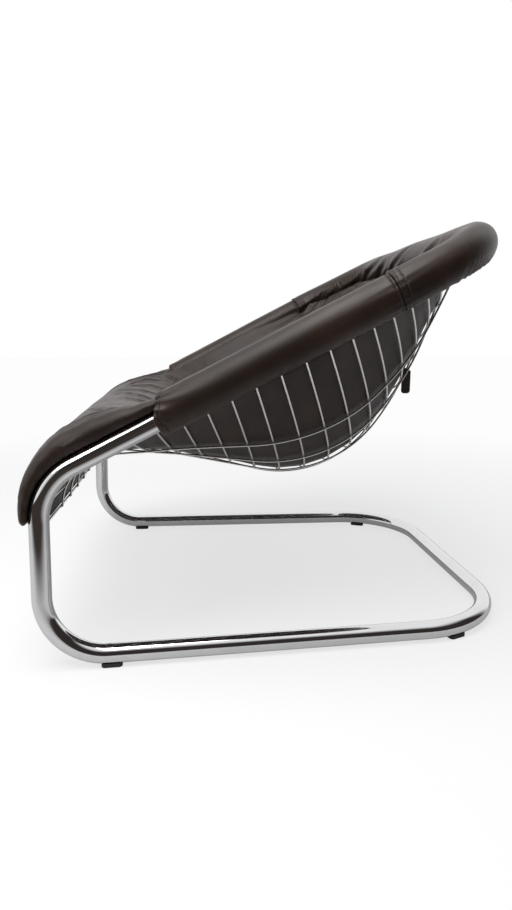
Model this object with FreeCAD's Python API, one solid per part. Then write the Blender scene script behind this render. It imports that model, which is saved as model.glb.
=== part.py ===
import FreeCAD, Part

# Cantilever lounge chair: a closed loop of bent chromed tube, a welded wire basket slung
# between its two rising rails, and leather upholstery that lies in the basket, rolls over
# the front bends and wraps the rails and the top of the loop.
# Millimetres, +Z up, the sitter faces -Y, +X is the sitter's left. The origin is on the
# floor under the middle of the chair.

import functools
import math
import os

Vector = FreeCAD.Vector

# Chromed tube
TUBE_D = 32.0
TUBE_WALL = 2.0
BASE_FRONT_HALF = 373.5       # centre plane to the tube at the front feet
BASE_REAR_HALF = 341.0        # the same at the rear corners, so the runners draw together
BASE_LENGTH = 826.0           # front uprights to rear crossbar
REAR_CORNER_R = 176.0
FOOT_BEND_R = 101.5
KNEE_BEND_R = 105.0
KNEE_HEIGHT = 308.0           # corner of the knee above the underside of the tube
KNEE_SETBACK = 8.5            # the uprights lean back by this much up to the knee
RAIL_SLOPE = 27.2             # degrees
RAIL_SPLAY = 0.075            # the rails part by this much for each millimetre along
RAIL_LENGTH = 814.0           # knee to upper crossbar
LOOP_CORNER_R = 176.0
BEND_STEP = 10.0              # degrees of a bend between two mitres
TUBE_SIDES = 20
BORE_SIDES = 12

# Joints of the tube, inside the leather sleeves
JOINT_STATION = 262.0         # along the rail from the knee
SPIGOT_LENGTH = 90.0
SPIGOT_CLEARANCE = 0.15

# Feet
FOOT_LENGTH = 34.0
FOOT_WIDTH = 20.0
FOOT_CORNER = 4.0
FOOT_STAND = 5.0              # rubber under the tube
FOOT_WRAP = 3.0               # rubber up the side of the tube
FOOT_CRADLE_R = 22.0          # wider than the tube, so the rear feet suit the bend
FOOT_FRONT_Y = 108.0
FOOT_REAR_Y = 716.0
FOOT_GAP = 0.2
PEG_D = 6.0
PEG_HEIGHT = 7.0
PEG_CLEARANCE = 0.15

# Wire basket
WIRE_D = 3.6
WIRE_SIDES = 6
WELD_GAP = 0.35
HEM_HEIGHT = 245.0            # lowest cross wire, on the uprights
HEM_SETBACK = 26.0
CREST_Y = 26.0
CREST_Z = 352.5
CREST_R = 82.0
BOTTOM_Y = 535.0
BOTTOM_Z = 214.0
BOTTOM_R = 220.0
BACK_Y = 669.5
BACK_Z = 415.0
BACK_R = 508.0
DISH_POWER = 2.12             # flatness of the cross wires
RIM_DROP = 12.0               # cross wires run in under the centre of the tube
LENGTH_WIRE_PITCH = 70.0
LENGTH_WIRES_A_SIDE = 4
CROSS_WIRES = 21
FRONT_WIRES = 6               # cross wires that turn over the front
FRONT_KEEL_LENGTH = 254.0
KEEL_PITCH = 51.5
RIM_PITCH = 42.0
EVEN_RIM_WIRES = 12           # from here on the pitch at the rim closes up
RIM_PITCH_LOSS = 0.055

# Leather
LEATHER_GAP = 0.4             # between the upholstery and what carries it
SLEEVE_R = 31.4
SLEEVE_RISE = 6.7             # centre of the padded sleeve above the centre of the rail
SLEEVE_START = 214.0          # along the rail from the knee
SEAM_STATION = 612.0
HOOD_R = 32.0
HOOD_RISE = 7.4
SLOT_FROM = 210.0             # degrees round the section, from the outer side over the top
SLOT_TO = 276.0
WRAP_STEPS = 16
LINING_STEPS = 12
SEAM_GAP = 0.4
HOOD_ROOM_LEAD = 27.0
PAD_LIFT = 2.7                # lower face of the pad above the cross wires' centre lines
PAD_HEM = 5.0                 # the pad hangs this far below the lowest cross wire
PAD_FRONT_Y = -25.0
PAD_CREST_Y = -33.0
PAD_CREST_Z = 408.0
PAD_CREST_R = 140.0
PAD_DIP_Y = 150.0
PAD_DIP_Z = 404.0
PAD_DIP_R = 145.0
PAD_SEAT_Y = 515.0
PAD_SEAT_Z = 252.0
PAD_SEAT_R = 180.0
PAD_BACK_Y = 643.0
PAD_BACK_Z = 444.0
PAD_BACK_R = 475.0
PAD_TOP_Y = 728.5
PAD_TOP_Z = 760.0
ROLL_HEIGHTS = [32, 38, 47, 53, 52.5, 45.5, 38.5]   # edge of the front roll over the tube
HEM_THICKNESS = 25.0
ROLL_OUTER_ANGLE = 60.0       # where the roll lets go of the tube on its outer side
ROLL_BULGE = 9.0
PAD_SHOULDER_ANGLE = 152.0
PAD_SHOULDER = 10.0
PAD_LIFT_SLOPE = 1.15
PAD_TOP_HALF = 330.0
PAD_TOP_LIFT = 10.0
PAD_WELD_LIFT = 3.0
PAD_ROLL_GAP = 0.9
PAD_SLEEVE_GAP = 0.7          # flank of the pad to the sleeve beside it
PAD_TUBE_GAP = 4.0            # the same to the tube where the pad runs up inside the hood
HOOD_WIRE = 17                # first cross wire at which it does
ROLL_EDGE = -6.0
SLEEVE_WIRE = 6.31            # the pad lets go of the tube here, where the sleeves start
SLEEVE_STEP = 0.03            # half the length of that step, in pitches of the cross wires
FLANK_STEPS = 8
ROLL_STEPS = 4
CROWN_STEPS = 16
FRONT_STEPS = 2               # sections of the roll to each pitch of the cross wires
PAD_KEEL_STEPS = 300

# Strap
TAB_X = 143.5                 # beside a lengthwise wire
TAB_WIRE = 16.6               # between these two cross wires
TAB_WIDTH = 20.0
TAB_LENGTH = 42.0
TAB_POINT = 14.0
TAB_NECK = 9.0                # its root goes up the basket from the middle of its gap
TAB_FOOT = 7.0                # and down from it
TAB_STAND = 14.0              # how far it stands out before it hangs
TAB_THICKNESS = 2.4

TUBE_R = TUBE_D / 2
WIRE_R = WIRE_D / 2
SLOPE = math.radians(RAIL_SLOPE)
ALONG = Vector(0, math.cos(SLOPE), math.sin(SLOPE))
ABOVE = Vector(0, -math.sin(SLOPE), math.cos(SLOPE))
SIDES = {"left": 1, "right": -1}


def unit(v):
    return v / v.Length


def rail_point(station, side=1):
    """Centre of the tube on the straight line of the rail."""
    half = BASE_FRONT_HALF + RAIL_SPLAY * station
    return Vector(side * half, KNEE_SETBACK, KNEE_HEIGHT) + ALONG * station


def rounded(corners, radii):
    """Straight runs joined by tangent arcs, as edges in order."""
    edges = []
    start = corners[0]
    for before, corner, after, radius in zip(corners, corners[1:], corners[2:], radii):
        u = unit(before - corner)
        v = unit(after - corner)
        half_angle = u.getAngle(v) / 2
        reach = radius / math.tan(half_angle)
        middle = corner + unit(u + v) * (radius / math.sin(half_angle) - radius)
        first = corner + u * reach
        last = corner + v * reach
        edges.append(Part.LineSegment(start, first).toShape())
        edges.append(Part.Arc(first, middle, last).toShape())
        start = last
    edges.append(Part.LineSegment(start, corners[-1]).toShape())
    return edges


def bend_points(edges):
    """Points along a path: its corners, and the arcs at even steps."""
    points = [edges[0].valueAt(edges[0].FirstParameter)]
    for edge in edges:
        low, high = edge.ParameterRange
        turn = edge.tangentAt(low).getAngle(edge.tangentAt(high))
        steps = max(1, math.ceil(math.degrees(turn) / BEND_STEP))
        for step in range(1, steps + 1):
            points.append(edge.valueAt(low + (high - low) * step / steps))
    return points


def polygon(radius, sides):
    """Corners of a regular polygon round the origin of a section."""
    turns = [2 * math.pi * number / sides for number in range(sides)]
    return [(radius * math.cos(turn), radius * math.sin(turn)) for turn in turns]


def facets(corners):
    """A flat face through the corners, or two triangles where they are not in one plane."""
    a, b, c, d = corners
    if abs((b - a).cross(c - a).dot(d - a)) < 1e-6:
        return [Part.Face(Part.makePolygon([a, b, c, d, a]))]
    if (c - a).Length <= (d - b).Length:
        halves = ([a, b, c, a], [a, c, d, a])
    else:
        halves = ([a, b, d, a], [b, c, d, b])
    return [Part.Face(Part.makePolygon(half)) for half in halves]


def skinned(rings):
    """Solid through closed chains of points, one after the other, with flat ends."""
    faces = []
    for first, second in zip(rings, rings[1:]):
        for k in range(len(first)):
            n = (k + 1) % len(first)
            faces += facets([first[k], first[n], second[n], second[k]])
    for ring in (rings[0], rings[-1]):
        faces.append(Part.Face(Part.makePolygon(ring + ring[:1])))
    solid = Part.Solid(Part.Shell(faces))
    return solid if solid.Volume > 0 else solid.reversed()


def mitred(points, profile, across, up=None):
    """Profile carried along a chain of points and mitred at each one."""
    heading = unit(points[1] - points[0])
    across = unit(across - heading * across.dot(heading))
    up = up or heading.cross(across)
    ring = [points[0] + across * x + up * y for x, y in profile]
    rings = [ring]
    for before, point, after in zip(points, points[1:], points[2:] + [None]):
        heading = unit(point - before)
        square = heading if after is None else unit(heading + unit(after - point))
        share = [(point - spot).dot(square) / heading.dot(square) for spot in ring]
        ring = [spot + heading * length for spot, length in zip(ring, share)]
        rings.append(ring)
    return skinned(rings)


def round_bar(points, radius, sides):
    return mitred(points, polygon(radius, sides), Vector(1, 0.2, 0.1))


def tube(edges):
    points = bend_points(edges)
    outer = round_bar(points, TUBE_R, TUBE_SIDES)
    bore = (TUBE_R - TUBE_WALL) / math.cos(math.pi / BORE_SIDES)
    return outer.cut(round_bar(points, bore, BORE_SIDES))


# The loop of tube

def lower_edges():
    half = []
    for side in (1, -1):
        half.append([
            rail_point(JOINT_STATION, side),
            rail_point(0, side),
            Vector(side * BASE_FRONT_HALF, 0, TUBE_R),
            Vector(side * BASE_REAR_HALF, BASE_LENGTH, TUBE_R),
        ])
    bends = [KNEE_BEND_R, FOOT_BEND_R, REAR_CORNER_R]
    return rounded(half[0] + half[1][::-1], bends + bends[::-1])


def upper_edges(start):
    corners = [
        rail_point(start, 1),
        rail_point(RAIL_LENGTH, 1),
        rail_point(RAIL_LENGTH, -1),
        rail_point(start, -1),
    ]
    return rounded(corners, [LOOP_CORNER_R, LOOP_CORNER_R])


def spigot(side):
    """Turned bar that joins the two tubes end to end."""
    middle = rail_point(JOINT_STATION, side)
    heading = unit(rail_point(1, side) - rail_point(0, side))
    radius = TUBE_R - TUBE_WALL - SPIGOT_CLEARANCE
    return Part.makeCylinder(radius, SPIGOT_LENGTH, middle - heading * (SPIGOT_LENGTH / 2), heading)


def runner_place(y, side):
    """Centre of the tube and its heading where the runner passes a given depth."""
    for edge in lower_edges():
        low, high = edge.ParameterRange
        first, last = edge.valueAt(low), edge.valueAt(high)
        level = max(first.z, last.z) < TUBE_R + 0.01
        if not level or (first.x + last.x) * side < 0 or (first.y - y) * (last.y - y) > 0:
            continue
        for _ in range(40):
            middle = (low + high) / 2
            if (edge.valueAt(middle).y - y) * (first.y - y) > 0:
                low = middle
            else:
                high = middle
        return edge.valueAt(low), edge.tangentAt(low)


def foot_places():
    places = {}
    for end, y in (("front", FOOT_FRONT_Y), ("rear", FOOT_REAR_Y)):
        for name, side in SIDES.items():
            places["foot_%s_%s" % (end, name)] = runner_place(y, side)
    return places


def foot(place, heading):
    """Rubber glide that cradles the runner and is held by a peg through its wall."""
    across = Vector(0, 0, 1).cross(heading)
    low = place - Vector(0, 0, TUBE_R + FOOT_STAND)
    long = FOOT_LENGTH / 2
    wide = FOOT_WIDTH / 2
    cut = FOOT_CORNER
    outline = [
        (long - cut, wide), (long, wide - cut), (long, cut - wide), (long - cut, -wide),
        (cut - long, -wide), (-long, cut - wide), (-long, wide - cut), (cut - long, wide),
    ]
    corners = [low + heading * a + across * b for a, b in outline]
    block = Part.Face(Part.makePolygon(corners + corners[:1]))
    block = block.extrude(Vector(0, 0, FOOT_STAND + FOOT_WRAP))
    axis = place + Vector(0, 0, FOOT_CRADLE_R - TUBE_R - FOOT_GAP) - heading * FOOT_LENGTH
    block = block.cut(Part.makeCylinder(FOOT_CRADLE_R, 2 * FOOT_LENGTH, axis, heading))
    peg = Part.makeCylinder(PEG_D / 2, PEG_HEIGHT, low + Vector(0, 0, FOOT_STAND / 2))
    return block.fuse(peg)


def bored_for_pegs(shape):
    for place, heading in foot_places().values():
        low = place - Vector(0, 0, TUBE_D)
        shape = shape.cut(Part.makeCylinder(PEG_D / 2 + PEG_CLEARANCE, TUBE_D, low))
    return shape


# The wire basket

def keel_edges():
    """Line of the basket in the centre plane, from the hem to the upper crossbar."""
    top = rail_point(RAIL_LENGTH) - ABOVE * TUBE_R
    corners = [
        Vector(0, HEM_SETBACK, HEM_HEIGHT),
        Vector(0, CREST_Y, CREST_Z),
        Vector(0, BOTTOM_Y, BOTTOM_Z),
        Vector(0, BACK_Y, BACK_Z),
        Vector(0, top.y, top.z),
    ]
    return rounded(corners, [CREST_R, BOTTOM_R, BACK_R])


def rim_edges():
    """Centre line of the tube that carries the basket, left half, hem to centre plane."""
    lean = KNEE_SETBACK * (HEM_HEIGHT - TUBE_R) / (KNEE_HEIGHT - TUBE_R)
    top = rail_point(RAIL_LENGTH)
    corners = [
        Vector(BASE_FRONT_HALF, lean, HEM_HEIGHT),
        rail_point(0),
        top,
        Vector(0, top.y, top.z),
    ]
    return rounded(corners, [KNEE_BEND_R, LOOP_CORNER_R])


def at_length(edges, distance):
    """Point at a distance along a path."""
    for edge in edges:
        if distance <= edge.Length:
            return edge.valueAt(edge.getParameterByLength(distance))
        distance -= edge.Length
    return edges[-1].valueAt(edges[-1].LastParameter)


KEEL = keel_edges()
RIM = rim_edges()


def rim_station(wire):
    even = min(wire, EVEN_RIM_WIRES)
    extra = wire - even
    return RIM_PITCH * (even + extra - RIM_PITCH_LOSS * extra * (extra + 1) / 2)


def square_station(wire):
    """Length along the keel at which it passes squarely under the rim of a cross wire."""
    station = rim_station(wire)
    rim = at_length(RIM, station)
    along = at_length(RIM, station + 1) - rim
    along.x = 0
    low, high = 0.0, FRONT_KEEL_LENGTH + KEEL_PITCH
    for _ in range(40):
        middle = (low + high) / 2
        ahead = (at_length(KEEL, middle) - rim).dot(along) > 0
        low, high = (low, middle) if ahead else (middle, high)
    return low


@functools.lru_cache(maxsize=None)
def keel_station(wire):
    """Square under the rim over the front bend, then at an even pitch."""
    if wire >= FRONT_WIRES:
        return FRONT_KEEL_LENGTH + KEEL_PITCH * (wire - FRONT_WIRES)
    if wire > FRONT_WIRES - 1:
        before = square_station(FRONT_WIRES - 1)
        return before + (FRONT_KEEL_LENGTH - before) * (wire - FRONT_WIRES + 1)
    return square_station(wire)


@functools.lru_cache(maxsize=None)
def basket_frame(wire):
    """Centre of the rim tube, the upward direction in a cross wire's plane, and its keel."""
    rim = at_length(RIM, rim_station(wire))
    keel = at_length(KEEL, keel_station(wire))
    return rim, unit(Vector(0, rim.y - keel.y, rim.z - keel.z)), keel


def weld_point(wire):
    """Point under the centre of the tube that a cross wire aims at."""
    rim, up, keel = basket_frame(wire)
    return rim - (ABOVE if wire >= FRONT_WIRES else up) * RIM_DROP


def mesh_point(wire, x):
    """Point of a cross wire at a distance from the centre plane."""
    rim, up, keel = basket_frame(wire)
    weld = weld_point(wire)
    rise = (abs(x) / rim.x) ** DISH_POWER
    return Vector(x, keel.y + (weld.y - keel.y) * rise, keel.z + (weld.z - keel.z) * rise)


def length_wire_places():
    span = range(-LENGTH_WIRES_A_SIDE, LENGTH_WIRES_A_SIDE + 1)
    return [number * LENGTH_WIRE_PITCH for number in span]


def run_to_tube(start, target, centre, along):
    """End of a wire that runs from start towards target and stops on the tube."""
    heading = unit(target - start)
    across = unit(heading.cross(along))
    rim = [across * WIRE_R, across * -WIRE_R]
    rim += [heading.cross(across) * WIRE_R, heading.cross(across) * -WIRE_R]
    low, high = 0.0, (target - start).Length
    for _ in range(30):
        middle = (low + high) / 2
        offsets = [start + heading * middle + corner - centre for corner in rim]
        nearest = min((o - along * o.dot(along)).Length for o in offsets)
        low, high = (middle, high) if nearest > TUBE_R + WELD_GAP else (low, middle)
    return start + heading * low


def cross_wire(wire):
    rim, up, keel = basket_frame(wire)
    ahead = at_length(RIM, rim_station(wire) + 1)
    along = unit(ahead - rim)
    points = [mesh_point(wire, x) for x in length_wire_places()]
    points.append(run_to_tube(points[-1], weld_point(wire), rim, along))
    last = points[-1]
    points.insert(0, Vector(-last.x, last.y, last.z))
    return round_bar(points, WIRE_R, WIRE_SIDES)


def mesh_normal(wire, x):
    """Direction square to the basket, away from the sitter."""
    step = 0.5
    low = max(wire - step, 0)
    high = min(wire + step, CROSS_WIRES - 1)
    along = mesh_point(high, x) - mesh_point(low, x)
    across = mesh_point(wire, x + 5) - mesh_point(wire, x - 5)
    return unit(along.cross(across))


def loop_point(x):
    """Centre of the tube at the top of the loop, at a distance from the centre plane."""
    low = RIM[0].Length + RIM[1].Length + RIM[2].Length
    high = low + RIM[3].Length + RIM[4].Length
    for _ in range(40):
        middle = (low + high) / 2
        low, high = (middle, high) if at_length(RIM, middle).x > abs(x) else (low, middle)
    point = at_length(RIM, low)
    return Vector(x, point.y, point.z)


def length_wire(x):
    offset = WIRE_D + WELD_GAP
    points = [mesh_point(w, x) + mesh_normal(w, x) * offset for w in range(CROSS_WIRES)]
    top = loop_point(x)
    along = unit(loop_point(x + 5) - loop_point(x - 5))
    points.append(run_to_tube(points[-1], top - ABOVE * RIM_DROP, top, along))
    return round_bar(points, WIRE_R, WIRE_SIDES)


# The sleeves and the hood

def wrap_profile(radius, rise):
    """Padded leather round the tube, open where the cross wires come in."""
    start = SLOT_TO - 360
    turn = SLOT_FROM - start
    outer = []
    inner = []
    for step in range(WRAP_STEPS + 1):
        angle = math.radians(start + turn * step / WRAP_STEPS)
        outer.append((radius * math.cos(angle), rise + radius * math.sin(angle)))
    for step in range(LINING_STEPS + 1):
        angle = math.radians(SLOT_FROM - turn * step / LINING_STEPS)
        reach = (TUBE_R + LEATHER_GAP) / math.cos(math.radians(turn / LINING_STEPS / 2))
        inner.append((reach * math.cos(angle), reach * math.sin(angle)))
    return outer + inner


def sleeve(side):
    ends = [rail_point(SLEEVE_START, side), rail_point(SEAM_STATION - SEAM_GAP, side)]
    outward = unit((ends[1] - ends[0]).cross(ABOVE)) * side
    return mitred(ends, wrap_profile(SLEEVE_R, SLEEVE_RISE), outward, ABOVE)


def hood():
    points = bend_points(upper_edges(SEAM_STATION))
    outward = unit((points[1] - points[0]).cross(ABOVE))
    return mitred(points, wrap_profile(HOOD_R, HOOD_RISE), outward, ABOVE)


def hood_room():
    """The space the hood and the ends of the sleeves take up, filled in."""
    points = bend_points(upper_edges(SEAM_STATION - HOOD_ROOM_LEAD))
    outward = unit((points[1] - points[0]).cross(ABOVE))
    reach = (HOOD_R + LEATHER_GAP) / math.cos(math.pi / TUBE_SIDES)
    disc = [(x, y + HOOD_RISE) for x, y in polygon(reach, TUBE_SIDES)]
    return mitred(points, disc, outward, ABOVE)


# The pad

def pad_keel_edges():
    """Upper face of the pad in the centre plane, from the front hem to under the hood."""
    corners = [
        Vector(0, PAD_FRONT_Y, HEM_HEIGHT - 2 * PAD_HEM),
        Vector(0, PAD_CREST_Y, PAD_CREST_Z),
        Vector(0, PAD_DIP_Y, PAD_DIP_Z),
        Vector(0, PAD_SEAT_Y, PAD_SEAT_Z),
        Vector(0, PAD_BACK_Y, PAD_BACK_Z),
        Vector(0, PAD_TOP_Y, PAD_TOP_Z),
    ]
    return rounded(corners, [PAD_CREST_R, PAD_DIP_R, PAD_SEAT_R, PAD_BACK_R])


def crossing(points, origin, up):
    """Height at which a chain of points crosses the line through origin along up."""
    across = Vector(0, -up.z, up.y)
    best = None
    for first, second in zip(points, points[1:]):
        a = (first - origin).dot(across)
        b = (second - origin).dot(across)
        if a * b <= 0 and abs(a - b) > 1e-9:
            height = (first + (second - first) * (a / (a - b)) - origin).dot(up)
            if best is None or abs(height) < abs(best):
                best = height
    return best


def chain(edges):
    total = sum(edge.Length for edge in edges)
    places = range(PAD_KEEL_STEPS + 1)
    return [at_length(edges, total * place / PAD_KEEL_STEPS) for place in places]


PAD_KEEL = chain(pad_keel_edges())


def mesh_height(x, origin, up):
    points = [mesh_point(wire, x) for wire in range(CROSS_WIRES)]
    points.append(loop_point(x) - ABOVE * RIM_DROP - ALONG * PAD_TOP_LIFT)
    points.append(points[-1] * 2 - points[-2])
    height = crossing(points, origin, up)
    if height is None:
        height = (points[0] - origin).dot(up)
    return height


def meeting(start, end, centre, radius):
    """Where the line from start to end enters a circle, in section coordinates."""
    low, high = 0.0, 1.0
    for _ in range(40):
        middle = (low + high) / 2
        x = start[0] + (end[0] - start[0]) * middle - centre[0]
        h = start[1] + (end[1] - start[1]) * middle - centre[1]
        low, high = (middle, high) if math.hypot(x, h) > radius else (low, middle)
    return (start[0] + (end[0] - start[0]) * low, start[1] + (end[1] - start[1]) * low)


def curve(first, middle, last, steps):
    """Points of a soft curve from first to last that passes through middle."""
    pull = [2 * m - (f + l) / 2 for f, m, l in zip(first, middle, last)]
    points = []
    for step in range(1, steps + 1):
        t = step / steps
        points.append(tuple(
            f * (1 - t) ** 2 + 2 * p * t * (1 - t) + l * t * t
            for f, p, l in zip(first, pull, last)))
    return points


def pad_section(origin, up, half, weld, centre, shoulder, roll, edge):
    """Closed outline of the pad in the plane of X and up, with the rim tube at x = half.

    The cross wires meet the tube at the height weld. The flank lies against the round thing
    whose height and radius are in centre and leaves it at the angle shoulder. From there the
    soft curve of roll and edge leads to the upper face.
    """
    rise, radius = centre
    lower = []
    for x in length_wire_places():
        height = mesh_height(x, origin, up)
        sag = max(-height - RIM_DROP, 0)
        slope = DISH_POWER * sag / half * (abs(x) / half) ** (DISH_POWER - 1)
        lower.append((x, height + PAD_LIFT * math.hypot(1, PAD_LIFT_SLOPE * slope)))
    aim = (half, PAD_LIFT * math.hypot(1, PAD_LIFT_SLOPE * slope) + weld)
    start = meeting(lower[-1], aim, (half, rise), radius)
    begin = math.atan2(start[1] - rise, start[0] - half) % (2 * math.pi)
    turn = math.radians(shoulder) - begin
    chord = 1 / math.cos(turn / FLANK_STEPS / 2)
    side = [start]
    for step in range(1, FLANK_STEPS + 1):
        angle = begin + turn * step / FLANK_STEPS
        reach = radius * (chord if step < FLANK_STEPS else 1)
        side.append((half + reach * math.cos(angle), rise + reach * math.sin(angle)))
    over = (side[-1][0] + edge[0], edge[1] if edge[1] else side[-1][1])
    middle = (side[-1][0] + roll[0], (side[-1][1] + over[1]) / 2 + roll[1])
    side += curve(side[-1], middle, over, ROLL_STEPS)
    low = crossing(PAD_KEEL, origin, up)
    crown = []
    for step in range(1, CROWN_STEPS):
        share = 1 - 2 * step / CROWN_STEPS
        crown.append((over[0] * share, low + (over[1] - low) * abs(share) ** DISH_POWER))
    outline = lower + side + crown + [(-x, h) for x, h in side[::-1]]
    return [Vector(x, origin.y, origin.z) + up * h for x, h in outline]


def roll_height(wire):
    low = min(int(wire), len(ROLL_HEIGHTS) - 2)
    return ROLL_HEIGHTS[low] + (ROLL_HEIGHTS[low + 1] - ROLL_HEIGHTS[low]) * (wire - low)


def roll_section(wire, hem=False):
    """Section of the front roll, which wraps the tube."""
    rim = at_length(RIM, rim_station(wire))
    along = unit(at_length(RIM, rim_station(wire) + 1) - rim)
    up = unit(Vector(0, -along.z, along.y))
    origin = Vector(0, rim.y, rim.z)
    edge = (ROLL_EDGE, roll_height(wire))
    if hem:
        origin = origin - Vector(0, 0, PAD_HEM)
        edge = (ROLL_EDGE, HEM_THICKNESS)
    around = (0, TUBE_R + PAD_ROLL_GAP)
    return pad_section(
        origin, up, rim.x, -RIM_DROP, around, ROLL_OUTER_ANGLE, (ROLL_BULGE, 0), edge)


def shoulder_section(origin, up, half, weld, around):
    """Section with an edge that drops away from the leather round the tube."""
    roll = (-PAD_SHOULDER / 2, PAD_SHOULDER / 4)
    edge = (-PAD_SHOULDER, 0)
    return pad_section(origin, up, half, weld, around, PAD_SHOULDER_ANGLE, roll, edge)


def bowl_section(wire, radius):
    """Section of the pad where it lies between the sleeves."""
    rim, up, keel = basket_frame(wire)
    if wire < FRONT_WIRES + 1:
        up = ABOVE
    origin = Vector(0, rim.y, rim.z)
    weld = weld_point(wire)
    if radius > SLEEVE_R:
        return shoulder_section(
            origin, up, rim.x, (weld - origin).dot(up), (SLEEVE_RISE, radius))
    up = unit(Vector(0, weld.y - keel.y, weld.z - keel.z))
    origin = Vector(0, weld.y, weld.z) + up * RIM_DROP
    return shoulder_section(
        origin, up, rim.x, PAD_WELD_LIFT - RIM_DROP, (SLEEVE_RISE, radius))


def last_section():
    """Section in the heart of the hood, where the pad ends."""
    rim, up, keel = basket_frame(CROSS_WIRES - 1)
    place = loop_point(PAD_TOP_HALF)
    weld = (ABOVE * -RIM_DROP - ALONG * PAD_TOP_LIFT).dot(up)
    origin = Vector(0, place.y, place.z)
    return shoulder_section(origin, up, PAD_TOP_HALF, weld, (0, TUBE_R))


def seat_pad():
    sections = [roll_section(0, True)]
    for step in range(FRONT_WIRES * FRONT_STEPS + 1):
        sections.append(roll_section(step / FRONT_STEPS))
    sections.append(roll_section(SLEEVE_WIRE - SLEEVE_STEP))
    sections.append(bowl_section(SLEEVE_WIRE + SLEEVE_STEP, SLEEVE_R + PAD_SLEEVE_GAP))
    for wire in range(FRONT_WIRES + 1, HOOD_WIRE):
        sections.append(bowl_section(wire, SLEEVE_R + PAD_SLEEVE_GAP))
    for wire in range(HOOD_WIRE, CROSS_WIRES):
        sections.append(bowl_section(wire, TUBE_R + PAD_TUBE_GAP))
    sections.append(last_section())
    return skinned(sections).cut(hood_room())


# The strap

def strap_tab():
    """Pointed end of a leather strap: it comes out between two cross wires and hangs down."""
    place = mesh_point(TAB_WIRE, TAB_X)
    out = mesh_normal(TAB_WIRE, TAB_X)
    out = unit(Vector(0, out.y, out.z))
    slope = Vector(0, -out.z, out.y)
    root = place - out * (PAD_LIFT - LEATHER_GAP)
    low = root - slope * TAB_FOOT
    high = root + slope * TAB_NECK
    outer = high + out * TAB_STAND
    shoulder = Vector(TAB_X, outer.y, low.z - TAB_LENGTH + TAB_WIDTH)
    inner = shoulder - Vector(0, TAB_WIDTH - TAB_THICKNESS, 0)
    tip = (shoulder + inner) / 2 - Vector(0, 0, TAB_POINT)
    outline = [low, high, outer, shoulder, tip, inner, Vector(TAB_X, inner.y, low.z)]
    face = Part.Face(Part.makePolygon(outline + outline[:1]))
    return face.extrude(Vector(TAB_THICKNESS, 0, 0))


def shifted(parts):
    """Everything raised onto its feet, with the origin under the middle of the whole."""
    box = FreeCAD.BoundBox()
    for shape in parts.values():
        box.add(shape.BoundBox)
    move = Vector(-box.Center.x, -box.Center.y, -box.ZMin)
    for shape in parts.values():
        shape.translate(move)
    print("moved by", move, "overall", box.XLength, box.YLength, box.ZLength)
    return parts


def build():
    parts = {}
    parts["base_tube"] = bored_for_pegs(tube(lower_edges()))
    parts["loop_tube"] = tube(upper_edges(JOINT_STATION))
    for wire in range(CROSS_WIRES):
        parts["cross_wire_%02d" % wire] = cross_wire(wire)
    for number, x in enumerate(length_wire_places()):
        parts["length_wire_%d" % number] = length_wire(x)
    for name, side in SIDES.items():
        parts["spigot_" + name] = spigot(side)
        parts["sleeve_" + name] = sleeve(side)
    parts["top_hood"] = hood()
    parts["seat_pad"] = seat_pad()
    parts["strap_tab"] = strap_tab()
    for name, (place, heading) in foot_places().items():
        parts[name] = foot(place, heading)
    return shifted(parts)


os.makedirs("parts", exist_ok=True)
for node, solid in build().items():
    solid.exportStep(os.path.join("parts", node + ".step"))
    print(node, len(solid.Solids), solid.isValid(), round(solid.Volume))
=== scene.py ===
import math

import bmesh
import bpy
import numpy as np
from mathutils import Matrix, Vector, noise
from mathutils.kdtree import KDTree


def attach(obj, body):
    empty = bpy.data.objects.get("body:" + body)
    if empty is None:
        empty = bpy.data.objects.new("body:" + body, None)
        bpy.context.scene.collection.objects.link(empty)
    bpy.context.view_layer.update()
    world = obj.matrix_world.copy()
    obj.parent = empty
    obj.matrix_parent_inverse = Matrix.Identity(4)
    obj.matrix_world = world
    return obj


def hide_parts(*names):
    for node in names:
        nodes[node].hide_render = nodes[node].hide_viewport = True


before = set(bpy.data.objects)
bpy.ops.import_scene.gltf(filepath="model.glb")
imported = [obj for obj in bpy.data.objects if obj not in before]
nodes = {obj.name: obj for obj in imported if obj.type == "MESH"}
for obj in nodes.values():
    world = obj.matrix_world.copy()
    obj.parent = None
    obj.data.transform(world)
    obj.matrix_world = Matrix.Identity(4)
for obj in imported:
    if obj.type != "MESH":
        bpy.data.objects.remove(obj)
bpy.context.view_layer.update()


# The camera stands on the sitter's left, a little above the top of the back, and looks
# slightly down across the chair. The photograph is upright, so the lens is set by its height.
camera = bpy.data.objects.new("camera", bpy.data.cameras.new("camera"))
bpy.context.collection.objects.link(camera)
camera.data.sensor_width = 36.0
camera.data.lens = 24.82
camera.location = (1.34369, -0.16779, 0.54471)
camera_yaw = 0.10996
camera_pitch = 0.19639
looks_along = Vector((
    -math.cos(camera_yaw) * math.cos(camera_pitch),
    math.sin(camera_yaw) * math.cos(camera_pitch),
    -math.sin(camera_pitch)))
camera.rotation_euler = looks_along.to_track_quat("-Z", "Y").to_euler()
bpy.context.scene.camera = camera


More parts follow.
